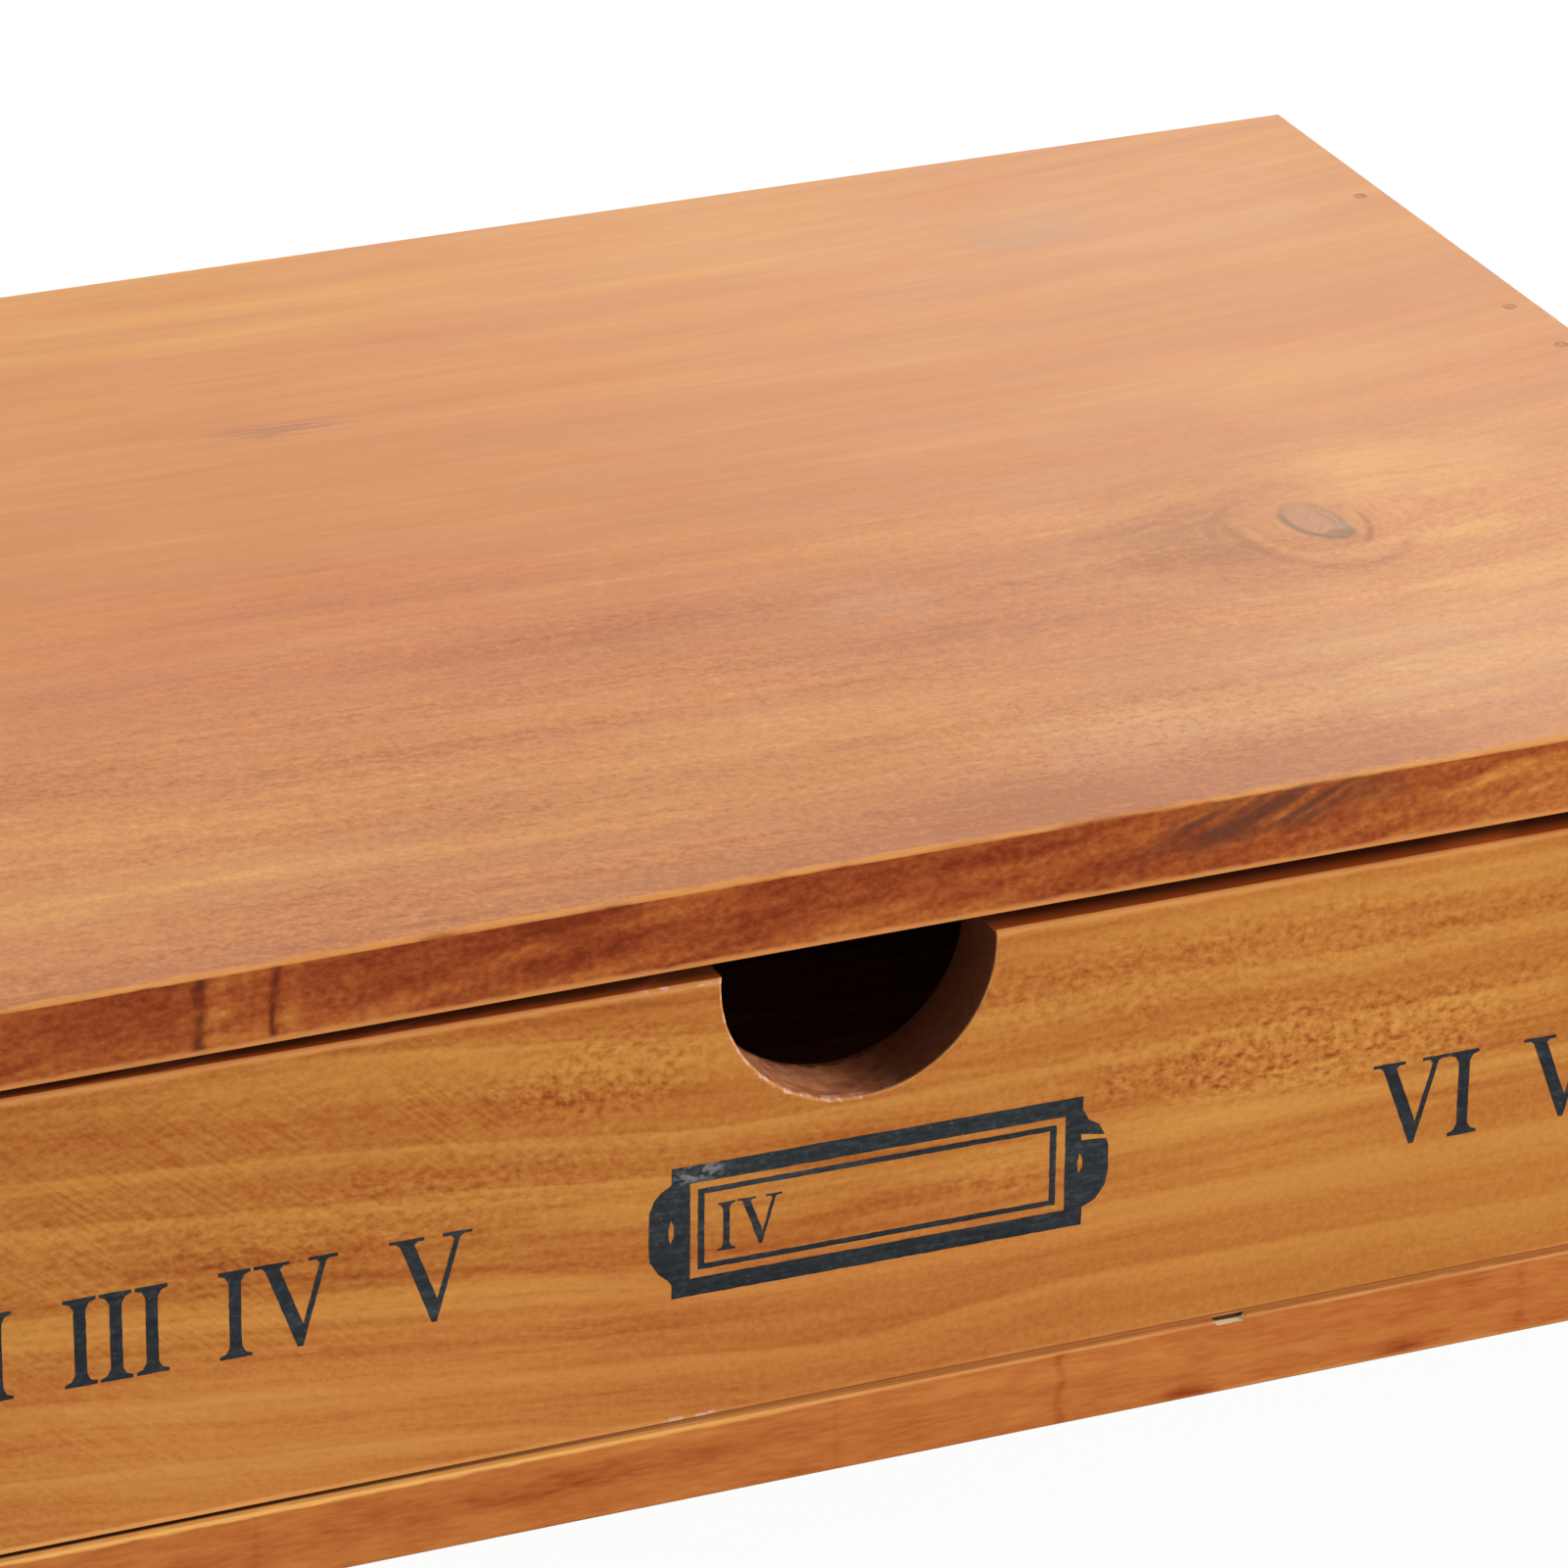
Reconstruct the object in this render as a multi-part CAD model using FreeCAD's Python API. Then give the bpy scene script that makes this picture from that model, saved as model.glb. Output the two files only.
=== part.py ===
import FreeCAD, Part
import os

from FreeCAD import Vector

# A desk box of stained softwood boards with one drawer, nailed together with brads.
# Millimetres. X runs along the width, the drawer opens towards -Y, Z is up.
# The origin is the middle of the bottom face, on the table.

# Case boards
case_width = 306.0
case_depth = 210.0
bay_height = 60.0
top_thickness = 10.0
bottom_thickness = 10.0
side_thickness = 9.0
back_thickness = 8.0
board_arris = 0.7
joint_arris = 0.4

# Drawer boards
front_thickness = 10.0
drawer_side_thickness = 8.0
drawer_side_height = 48.0
drawer_back_thickness = 8.0
drawer_floor_thickness = 3.0
drawer_floor_lift = 5.0
drawer_rim_round = 1.2
front_rabbet_depth = 5.0
floor_groove_depth = 4.0
front_arris = 0.6

# Gaps around the drawer: its front board was sawn a little out of square and hollow on top
gap_top_left = 1.2
gap_top_middle = 2.7
gap_top_right = 2.9
gap_bottom_left = 0.6
gap_bottom_right = 0.3
drawer_side_gap = 0.8
drawer_running_gap = 0.3
drawer_rear_gap = 0.8
drawer_recess = 1.0
groove_play = 0.2
groove_end_play = 0.3

# Finger notch, bored with a round bit just under the front board's top edge
notch_radius = 17.2
notch_centre_drop = 1.1
notch_arris = 0.7

# Chip broken out of the bottom board's front arris
chip_centre_x = 48.5
chip_length = 4.4
chip_depth = 0.9

# Brads
brad_radius = 0.6
brad_head_radius = 0.95
brad_head_thickness = 0.8
brad_point_length = 1.6
brad_point_radius = 0.15
brad_sink = 0.3
brad_hole_play = 0.05
case_brad_length = 22.0
drawer_brad_length = 18.0
case_brad_inset = 4.2
case_brads_from_rear = [35.0, 81.0, 96.0, 170.0]
back_brad_heights = [15.0, 45.0]
back_brad_spacing = 100.0
drawer_brad_heights = [15.0, 38.0]
drawer_floor_brad_spacing = 95.0

# Levels and edges worked out from the sizes
half_width = case_width / 2
y_front = -case_depth / 2
y_rear = case_depth / 2
z_floor = bottom_thickness
z_ceiling = z_floor + bay_height
z_top = z_ceiling + top_thickness
bay_half = half_width - side_thickness
y_back_inner = y_rear - back_thickness

drawer_half = bay_half - drawer_side_gap
drawer_inner_half = drawer_half - drawer_side_thickness
y_face = y_front + drawer_recess
y_face_inner = y_face + front_thickness
y_rabbet = y_face_inner - front_rabbet_depth
y_drawer_rear = y_back_inner - drawer_rear_gap
y_drawer_back_inner = y_drawer_rear - drawer_back_thickness
z_drawer = z_floor + drawer_running_gap
z_drawer_rim = z_drawer + drawer_side_height
z_groove = z_drawer + drawer_floor_lift
z_drawer_floor = z_groove + drawer_floor_thickness
groove_height = drawer_floor_thickness + groove_play
overshoot = 2.0

left_right = [-1, 1]
straight_up = Vector(0, 0, 1)


def block(x0, x1, y0, y1, z0, z1):
    """A board from one corner to the opposite one."""
    return Part.makeBox(x1 - x0, y1 - y0, z1 - z0, Vector(x0, y0, z0))


def edges_where(solid, wanted):
    """The straight edges whose middle point and direction pass the test."""
    chosen = []
    for edge in solid.Edges:
        if not isinstance(edge.Curve, Part.Line):
            continue
        middle = edge.valueAt((edge.FirstParameter + edge.LastParameter) / 2)
        if wanted(middle, edge.Curve.Direction):
            chosen.append(edge)
    return chosen


def near(a, b):
    return abs(a - b) < 1e-6


def rod(start, direction, length, radius):
    return Part.makeCylinder(radius, length, start, direction)


def brad(at, direction, length):
    """A brad whose head sits just under the surface at the given point."""
    head_top = at + direction * brad_sink
    shank_length = length - brad_point_length
    head = rod(head_top, direction, brad_head_thickness, brad_head_radius)
    shank = rod(head_top, direction, shank_length, brad_radius)
    point = Part.makeCone(
        brad_radius, brad_point_radius, brad_point_length,
        head_top + direction * shank_length, direction)
    return head.fuse([shank, point]).removeSplitter()


def brad_hole(at, direction, length):
    """The hole that a brad leaves, with the pit over its head."""
    pit_depth = brad_sink + brad_head_thickness + brad_hole_play
    pit = rod(at - direction * overshoot, direction, overshoot + pit_depth,
              brad_head_radius + brad_hole_play)
    hole = rod(at, direction, brad_sink + length + brad_hole_play, brad_radius + brad_hole_play)
    return pit.fuse(hole)


def drill(board, places, length):
    """A board with the holes of the brads that pass through it."""
    return board.cut([brad_hole(at, direction, length) for at, direction in places])


def brads(places, length):
    return Part.makeCompound([brad(at, direction, length) for at, direction in places])


def case_brad_places(z, direction):
    """Brads through the top or bottom board into the side boards."""
    x = half_width - case_brad_inset
    return [(Vector(side * x, y_rear - back, z), direction)
            for side in left_right for back in case_brads_from_rear]


def back_side_brad_places():
    """Brads through the side boards into the ends of the back panel."""
    y = y_rear - back_thickness / 2
    return [(Vector(side * half_width, y, z_floor + height), Vector(-side, 0, 0))
            for side in left_right for height in back_brad_heights]


def back_floor_brad_places():
    """Brads up through the bottom board into the back panel."""
    y = y_rear - back_thickness / 2
    return [(Vector(step * back_brad_spacing, y, 0), straight_up) for step in (-1, 0, 1)]


def drawer_side_brad_places(y):
    """Brads through the drawer's sides into its front or back board."""
    return [(Vector(side * drawer_half, y, z_drawer + height), Vector(-side, 0, 0))
            for side in left_right for height in drawer_brad_heights]


def drawer_floor_brad_places():
    """Brads up through the drawer's floor into its back board."""
    y = y_drawer_rear - drawer_back_thickness / 2
    return [(Vector(step * drawer_floor_brad_spacing, y, z_groove), straight_up)
            for step in (-1, 0, 1)]


top_places = case_brad_places(z_top, -straight_up)
bottom_places = case_brad_places(0, straight_up)
back_side_places = back_side_brad_places()
back_floor_places = back_floor_brad_places()
drawer_front_places = drawer_side_brad_places(y_face_inner - front_rabbet_depth / 2)
drawer_back_places = drawer_side_brad_places(y_drawer_rear - drawer_back_thickness / 2)
drawer_floor_places = drawer_floor_brad_places()


def top_board():
    """The top, one wide board with its arrises sanded round."""
    board = block(-half_width, half_width, y_front, y_rear, z_ceiling, z_top)
    board = board.makeFillet(board_arris, board.Edges)
    return drill(board, top_places, case_brad_length)


def bottom_board():
    """The bottom, with a small chip broken out of its top front arris."""
    board = block(-half_width, half_width, y_front, y_rear, 0, z_floor)
    board = board.makeFillet(board_arris, board.Edges)
    half_length = chip_length / 2
    chip_radius = (half_length ** 2 + chip_depth ** 2) / (2 * chip_depth)
    out = (chip_radius - chip_depth) / 2 ** 0.5
    reach = chip_length / 2 ** 0.5
    scoop = rod(Vector(chip_centre_x, y_front - out - reach, z_floor + out - reach),
                Vector(0, 1, 1), 2 * chip_length, chip_radius)
    board = board.cut(scoop)
    board = drill(board, bottom_places, case_brad_length)
    return drill(board, back_floor_places, case_brad_length)


def side_board(side):
    """A side of the case, standing between the bottom and the top board."""
    x0, x1 = sorted([side * bay_half, side * half_width])
    board = block(x0, x1, y_front, y_rear, z_floor, z_ceiling)
    upright = edges_where(board, lambda middle, run: near(abs(run.z), 1))
    board = board.makeFillet(joint_arris, upright)
    own = [place for place in top_places + bottom_places + back_side_places
           if place[0].x * side > 0]
    return drill(board, own, case_brad_length)


def back_panel():
    """The back, a board let in between the sides, the bottom and the top."""
    board = block(-bay_half, bay_half, y_back_inner, y_rear, z_floor, z_ceiling)
    return drill(board, back_side_places + back_floor_places, case_brad_length)


def front_outline():
    """The drawer front's corners and the middle of its top, each with a gap of its own."""
    return [
        Vector(-drawer_half, y_face, z_floor + gap_bottom_left),
        Vector(drawer_half, y_face, z_floor + gap_bottom_right),
        Vector(drawer_half, y_face, z_ceiling - gap_top_right),
        Vector(0, y_face, z_ceiling - gap_top_middle),
        Vector(-drawer_half, y_face, z_ceiling - gap_top_left),
    ]


def drawer_front():
    """The drawer's front with its finger notch, its end rabbets and its floor groove."""
    corners = front_outline()
    outline = Part.makePolygon(corners + [corners[0]])
    board = Part.Face(outline).extrude(Vector(0, front_thickness, 0))
    z_notch = z_ceiling - gap_top_middle - notch_centre_drop
    bit = rod(Vector(0, y_face - overshoot, z_notch), Vector(0, 1, 0),
              front_thickness + 2 * overshoot, notch_radius)
    board = board.cut(bit)
    rim = [edge for edge in board.Edges if isinstance(edge.Curve, Part.Circle)]
    board = board.makeFillet(notch_arris, rim)
    face_edges = edges_where(board, lambda middle, run: near(middle.y, y_face))
    board = board.makeFillet(front_arris, face_edges)
    for side in left_right:
        x0, x1 = sorted([side * drawer_inner_half, side * (drawer_half + overshoot)])
        board = board.cut(block(x0, x1, y_rabbet, y_face_inner + overshoot, 0, z_top))
    groove = block(-drawer_inner_half - overshoot, drawer_inner_half + overshoot,
                   y_face_inner - floor_groove_depth, y_face_inner + overshoot,
                   z_groove, z_groove + groove_height)
    board = board.cut(groove)
    return drill(board, drawer_front_places, drawer_brad_length)


def drawer_side(side):
    """A drawer side, lapped into the front's rabbet and grooved for the floor."""
    x0, x1 = sorted([side * drawer_inner_half, side * drawer_half])
    board = block(x0, x1, y_rabbet, y_drawer_rear, z_drawer, z_drawer_rim)
    rim = edges_where(board, lambda middle, run: near(abs(run.y), 1) and near(middle.z, z_drawer_rim))
    board = board.makeFillet(drawer_rim_round, rim)
    g0, g1 = sorted([side * (drawer_inner_half - overshoot),
                     side * (drawer_inner_half + floor_groove_depth)])
    board = board.cut(block(g0, g1, y_rabbet - overshoot, y_drawer_rear + overshoot,
                            z_groove, z_groove + groove_height))
    own = [place for place in drawer_front_places + drawer_back_places if place[0].x * side > 0]
    return drill(board, own, drawer_brad_length)


def drawer_back():
    """The drawer's back, nailed between its sides and standing on its floor."""
    board = block(-drawer_inner_half, drawer_inner_half, y_drawer_back_inner, y_drawer_rear,
                  z_drawer_floor, z_drawer_rim)
    rim = edges_where(board, lambda middle, run: near(abs(run.x), 1) and near(middle.z, z_drawer_rim))
    board = board.makeFillet(drawer_rim_round, rim)
    board = drill(board, drawer_back_places, drawer_brad_length)
    return drill(board, drawer_floor_places, drawer_brad_length)


def drawer_floor():
    """The drawer's plywood floor, slid into the grooves of the sides and the front."""
    half = drawer_inner_half + floor_groove_depth - groove_end_play
    y0 = y_face_inner - floor_groove_depth + groove_end_play
    board = block(-half, half, y0, y_drawer_rear, z_groove, z_drawer_floor)
    return drill(board, drawer_floor_places, drawer_brad_length)


pieces = {
    "top_board": top_board(),
    "bottom_board": bottom_board(),
    "left_side_board": side_board(-1),
    "right_side_board": side_board(1),
    "back_panel": back_panel(),
    "top_board_brads": brads(top_places, case_brad_length),
    "bottom_board_brads": brads(bottom_places, case_brad_length),
    "back_panel_brads": brads(back_side_places + back_floor_places, case_brad_length),
    "drawer_front": drawer_front(),
    "drawer_left_side": drawer_side(-1),
    "drawer_right_side": drawer_side(1),
    "drawer_back": drawer_back(),
    "drawer_floor": drawer_floor(),
    "drawer_front_brads": brads(drawer_front_places, drawer_brad_length),
    "drawer_back_brads": brads(drawer_back_places, drawer_brad_length),
    "drawer_floor_brads": brads(drawer_floor_places, drawer_brad_length),
}

os.makedirs("parts", exist_ok=True)
for node, shape in pieces.items():
    shape.exportStep("parts/" + node + ".step")
    box = shape.BoundBox
    print(node, "solids", len(shape.Solids), "valid", shape.isValid(), "volume", round(shape.Volume, 1),
          "box", [round(v, 2) for v in (box.XMin, box.XMax, box.YMin, box.YMax, box.ZMin, box.ZMax)])
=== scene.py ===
import math
import random
from functools import partialmethod, reduce

import bpy
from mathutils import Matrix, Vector


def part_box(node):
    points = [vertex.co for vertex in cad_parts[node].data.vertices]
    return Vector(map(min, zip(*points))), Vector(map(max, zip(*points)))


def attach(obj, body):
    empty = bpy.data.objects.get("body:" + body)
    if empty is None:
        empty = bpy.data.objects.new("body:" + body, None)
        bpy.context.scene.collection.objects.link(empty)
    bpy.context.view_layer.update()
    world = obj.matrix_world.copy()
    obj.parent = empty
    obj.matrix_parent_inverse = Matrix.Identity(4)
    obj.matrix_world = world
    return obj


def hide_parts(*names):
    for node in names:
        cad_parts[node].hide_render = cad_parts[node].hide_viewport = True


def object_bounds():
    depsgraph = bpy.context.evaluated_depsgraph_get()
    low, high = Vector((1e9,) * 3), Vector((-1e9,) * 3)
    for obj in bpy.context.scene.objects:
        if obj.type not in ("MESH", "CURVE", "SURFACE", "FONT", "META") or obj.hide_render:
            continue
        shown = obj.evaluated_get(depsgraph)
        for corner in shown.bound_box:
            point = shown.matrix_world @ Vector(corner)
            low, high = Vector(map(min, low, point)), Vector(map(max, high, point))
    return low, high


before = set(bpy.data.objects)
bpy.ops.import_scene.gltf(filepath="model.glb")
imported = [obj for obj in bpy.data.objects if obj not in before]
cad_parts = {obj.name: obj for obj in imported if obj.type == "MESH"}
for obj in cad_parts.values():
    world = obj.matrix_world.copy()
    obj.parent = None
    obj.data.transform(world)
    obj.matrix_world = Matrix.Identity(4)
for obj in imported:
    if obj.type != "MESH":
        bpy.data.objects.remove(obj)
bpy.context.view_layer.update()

# The room
# A white sweep with the box in the middle of it, photographed from the front left and above
# with a long lens, under an even white sky. One lamp hangs overhead, a strong one stands at the
# front right, where the wax doesn't mirror it, and a weak one behind.
mm = 0.001
scene = bpy.context.scene
photo_width_px = 1601
photo_focal_px = 8348.8
sensor_mm = 36
view_turn = math.radians(22.286)
view_lift = math.radians(24.599)
view_distance = 935.97 * mm
aim_right = -9.93 * mm
aim_height = 91.35 * mm
case_low, case_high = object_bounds()

towards_camera = Vector((
    -math.sin(view_turn) * math.cos(view_lift),
    -math.cos(view_turn) * math.cos(view_lift),
    math.sin(view_lift),
))
camera_data = bpy.data.cameras.new("camera")
camera_data.sensor_fit = "HORIZONTAL"
camera_data.sensor_width = sensor_mm
camera_data.lens = sensor_mm * photo_focal_px / photo_width_px
camera_data.clip_start = 0.05
camera_data.clip_end = 40
camera = bpy.data.objects.new("camera", camera_data)
camera.location = Vector((aim_right, case_low.y, aim_height)) + towards_camera * view_distance
camera.rotation_euler = towards_camera.to_track_quat("Z", "Y").to_euler()
scene.collection.objects.link(camera)
scene.camera = camera
scene.view_settings.view_transform = "Standard"


def deselect_everything():
    bpy.ops.object.select_all(action="DESELECT")


class Wire:
    """A shader socket that sums, products and the like can be written with."""

    def __init__(self, tree, socket=None):
        self.tree = tree
        self.socket = socket

    def node(self, kind, settings=None, sockets=None, output=0):
        """Adds any other node: its settings first, then the values or wires of its sockets."""
        made = self.tree.nodes.new("ShaderNode" + kind)
        for name, value in (settings or {}).items():
            if name == "stops":
                lay_stops(made.color_ramp, value)
            else:
                setattr(made, name, value)
        for name, value in (sockets or {}).items():
            if isinstance(value, Wire):
                self.tree.links.new(value.socket, made.inputs[name])
            else:
                made.inputs[name].default_value = value
        return Wire(self.tree, made.outputs[output] if made.outputs else None)

    def maths(self, operation, other=0):
        return self.node("Math", {"operation": operation}, {0: self, 1: other})

    def __rsub__(self, other):
        return self.node("Math", {"operation": "SUBTRACT"}, {0: other, 1: self})

    __add__ = __radd__ = partialmethod(maths, "ADD")
    __mul__ = __rmul__ = partialmethod(maths, "MULTIPLY")
    __sub__ = partialmethod(maths, "SUBTRACT")
    __truediv__ = partialmethod(maths, "DIVIDE")
    __pow__ = partialmethod(maths, "POWER")
    size = partialmethod(maths, "ABSOLUTE")
    least = partialmethod(maths, "MINIMUM")
    most = partialmethod(maths, "MAXIMUM")

    def split(self):
        """The three parts of a vector."""
        return [self.node("SeparateXYZ", None, {0: self}, output) for output in range(3)]

    def rise(self, low, high):
        """0 below low and 1 above high, with a soft step between, or the other way round."""
        return self.node("MapRange", {"interpolation_type": "SMOOTHSTEP"}, {
            0: self, 1: low, 2: high})

    def line(self, half_width, core=0):
        """1 where this is 0, fading to 0 at a distance on either side of it."""
        return self.size().rise(half_width, core)

    def tint(self, under, over):
        """The colour under where this is 0 and over where it is 1."""
        return self.node("Mix", {"data_type": "RGBA"}, {0: self, 6: under, 7: over}, 2)


def rgb(red, green, blue):
    return (red, green, blue, 1)


def lay_stops(ramp, stops):
    """Sets a ramp from stops of a place, a red, a green and a blue."""
    while len(ramp.elements) < len(stops):
        ramp.elements.new(1)
    for element, (place, *colour) in zip(ramp.elements, stops):
        element.position = place
        element.color = rgb(*colour)


def new_finish(name):
    """An empty material, and the wire that its nodes start from."""
    material = bpy.data.materials.new(name)
    material.use_nodes = True
    material.node_tree.nodes.clear()
    return material, Wire(material.node_tree)


def close_finish(start, shader):
    start.node("OutputMaterial", None, {"Surface": shader})


def finish_with(piece, material):
    """Gives a piece one finish, in place of any that it has."""
    piece.data.materials.clear()
    piece.data.materials.append(material)


sweep_white = rgb(0.8, 0.8, 0.8)
full_white = rgb(1, 1, 1)
sweep_half_width = 4
sweep_glow = 0.95
sky_on_object = 0.45

sweep_finish, start = new_finish("sweep_white")
seen = start.node("LightPath", None, None, "Is Camera Ray")
paper_colour = seen.tint(sweep_white, full_white)
paper = start.node("BsdfDiffuse", None, {"Color": paper_colour})
glow = start.node("Emission", None, {"Color": full_white, "Strength": 1})
lit_paper = start.node("MixShader", None, {0: seen * sweep_glow, 1: paper, 2: glow})
close_finish(start, lit_paper)

deselect_everything()
bpy.ops.mesh.primitive_plane_add(size=2 * sweep_half_width, location=(0, 0, case_low.z))
sweep = bpy.context.object
sweep.name = "sweep"
finish_with(sweep, sweep_finish)

sky = bpy.data.worlds.new("white_sky")
scene.world = sky
sky.use_nodes = True
sky.node_tree.nodes.clear()
start = Wire(sky.node_tree)
seen = start.node("LightPath", None, None, "Is Camera Ray")
strength = sky_on_object + seen * (1 - sky_on_object)
air = start.node("Background", None, {"Color": full_white, "Strength": strength})
start.node("OutputWorld", None, {"Surface": air})

box_middle = Vector((0, 0, case_high.z / 2))


def hang_lamp(name, place, width, power):
    """A square soft lamp that looks at the middle of the box."""
    light = bpy.data.lights.new(name, "AREA")
    light.size = width
    light.energy = power
    lamp = bpy.data.objects.new(name, light)
    lamp.location = place
    lamp.rotation_euler = (Vector(place) - box_middle).to_track_quat("Z", "Y").to_euler()
    scene.collection.objects.link(lamp)
    return lamp


hang_lamp("lamp_above", (0.15, 0.4, 1), 0.8, 5.8)
lamp_at_the_right = hang_lamp("lamp_at_the_right", (1.6, -1.3, 0.65), 0.6, 27)
lamp_at_the_right.visible_glossy = False
hang_lamp("lamp_behind", (0.4, 0.85, 0.42), 0.6, 1.5)


# The top board
# One wide softwood board, planed, its arrises sanded round by hand, stained orange-brown and
# waxed. Brads through it into the sides are sunk below its surface and their pits filled.
top_low, top_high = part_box("top_board")
arris = 0.45 * mm
arris_steps = 4
arris_left = 0.3
just_past = 1.02
strip_corners = 8
wear_depth = 0.22 * mm
wear_grain = 3 * mm
edge_pitch = 1.2 * mm
many_pieces = 100
flat_border = 0.5 * mm
smooth_angle = math.radians(35)
left_right = [-1, 1]


def take(piece):
    """Selects one piece alone and makes it the active one."""
    deselect_everything()
    piece.select_set(True)
    bpy.context.view_layer.objects.active = piece


def settle(piece, name, body):
    """Names a finished piece and lets it ride on its body."""
    piece.name = name
    piece.data.name = name
    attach(piece, body)


def settle_in_mesh(piece):
    """Puts a piece's place, turn and size into its mesh, so that its object is at the origin."""
    take(piece)
    bpy.ops.object.transform_apply(location=True, rotation=True, scale=True)


def add_block(low, high):
    """A plain block from its lowest to its highest corner."""
    low, high = Vector(low), Vector(high)
    deselect_everything()
    bpy.ops.mesh.primitive_cube_add(size=1, location=(low + high) / 2, scale=high - low)
    block = bpy.context.object
    settle_in_mesh(block)
    return block


def add_rod(middle, axis, radius, length, sides):
    """A plain rod about a point, along an axis."""
    deselect_everything()
    turn = {"Y": (math.pi / 2, 0, 0), "Z": (0, 0, 0)}[axis]
    bpy.ops.mesh.primitive_cylinder_add(
        vertices=sides, radius=radius, depth=length, location=middle, rotation=turn)
    rod = bpy.context.object
    settle_in_mesh(rod)
    return rod


def pick(piece, part, wanted):
    """Selects the vertices, edges or faces that pass a test, and stays in edit mode."""
    mode = {"vertices": "VERT", "edges": "EDGE", "polygons": "FACE"}[part]
    take(piece)
    bpy.ops.object.mode_set(mode="EDIT")
    bpy.ops.mesh.select_mode(type=mode)
    bpy.ops.mesh.select_all(action="DESELECT")
    bpy.ops.object.mode_set(mode="OBJECT")
    for element in getattr(piece.data, part):
        element.select = wanted(element)
    bpy.ops.object.mode_set(mode="EDIT")


def back_to_objects():
    bpy.ops.object.mode_set(mode="OBJECT")


def ends(piece, edge):
    return [piece.data.vertices[index].co for index in edge.vertices]


def near(a, b):
    return abs(a - b) < 0.01 * mm


def divide(piece, wanted, length):
    """Divides an edge of the given length into short pieces, in two rounds if they are many."""
    pieces = length / edge_pitch
    rounds = 1 if pieces < many_pieces else 2
    for _ in range(rounds):
        pick(piece, "edges", wanted)
        bpy.ops.mesh.subdivide(number_cuts=round(pieces ** (1 / rounds)) - 1)
        back_to_objects()


def cut(piece, cutter):
    """Cuts the shape of one piece out of another, and throws the cutter away."""
    saw = piece.modifiers.new("saw", "BOOLEAN")
    saw.operation = "DIFFERENCE"
    saw.object = cutter
    saw.solver = "EXACT"
    take(piece)
    bpy.ops.object.modifier_apply(modifier=saw.name)
    bpy.data.objects.remove(cutter)


def round_off(piece, wanted, width, steps):
    """Rounds the wanted edges and tells where the rounding's own vertices are, which aren't
    corners of a wide face."""
    pick(piece, "edges", wanted)
    bpy.ops.mesh.bevel(offset=width, segments=steps, affect="EDGES", clamp_overlap=False)
    back_to_objects()
    wide = {index for face in piece.data.polygons if len(face.vertices) > strip_corners
            for index in face.vertices}
    return [v.co.copy() for v in piece.data.vertices if v.select and v.index not in wide]


def wear(piece, places, depth):
    """Dents the vertices at some places inwards unevenly, as handling and sanding do."""
    def in_microns(place):
        return tuple(round(value / mm, 3) for value in place)

    wanted = set(map(in_microns, places))
    worn = piece.vertex_groups.new(name="worn")
    worn.add([v.index for v in piece.data.vertices if in_microns(v.co) in wanted], 1, "REPLACE")
    clouds = bpy.data.textures.new(piece.name + "_wear", "CLOUDS")
    clouds.noise_scale = wear_grain
    dent = piece.modifiers.new("dent", "DISPLACE")
    dent.texture = clouds
    dent.mid_level = 1
    dent.strength = depth
    dent.vertex_group = worn.name
    take(piece)
    bpy.ops.object.modifier_apply(modifier=dent.name)
    piece.vertex_groups.clear()


def border_flats(piece, least_area):
    """Lays a narrow border round each wide face, so that smooth shading stays on the arrises."""
    pick(piece, "polygons", lambda face: face.area > least_area)
    bpy.ops.mesh.inset(thickness=flat_border, use_individual=True)
    back_to_objects()


def smooth(piece):
    take(piece)
    bpy.ops.object.shade_smooth_by_angle(angle=smooth_angle)


def planed_board(low, high):
    """A board with worn, rounded arrises."""
    board = add_block(low, high)
    for axis in range(3):
        others = [a for a in range(3) if a != axis]
        for first in (low, high):
            for second in (low, high):
                def on_this_corner(edge):
                    return all(near(end[others[0]], first[others[0]])
                               and near(end[others[1]], second[others[1]])
                               for end in ends(board, edge))
                divide(board, on_this_corner, high[axis] - low[axis])
    rounded = round_off(board, lambda edge: True, arris, arris_steps)
    wear(board, rounded, wear_depth)
    border_flats(board, least_area=0.0005)
    return board


case_brad_inset = 4.2 * mm
case_brads_from_rear = [35 * mm, 81 * mm, 96 * mm, 170 * mm]
brad_pit_radius = 1 * mm
brad_pit_depth = 1.15 * mm
brad_sink = 0.3 * mm
pit_sides = 24
case_brad_places = [(side * (case_high.x - case_brad_inset), case_high.y - back)
                    for side in left_right for back in case_brads_from_rear]


def sink_brads(board, places, height):
    """Pits over the heads of the brads that are driven in at a height."""
    for x, y in places:
        cut(board, add_rod((x, y, height), "Z", brad_pit_radius, 2 * brad_pit_depth, pit_sides))


def sharpen(board, corner, back=just_past * arris, up=just_past * arris):
    """Squeezes a front rounding that was hardly sanded towards its sharp corner."""
    pick(board, "vertices", lambda vertex: vertex.co.y < corner.y + back
         and abs(vertex.co.z - corner.z) < up)
    bpy.ops.transform.resize(value=(1, arris_left, arris_left), center_override=corner)
    back_to_objects()


top = planed_board(top_low, top_high)
sharpen(top, top_low)
sink_brads(top, case_brad_places, top_high.z)
smooth(top)
settle(top, "top_board_planed", "case")
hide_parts("top_board")


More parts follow.
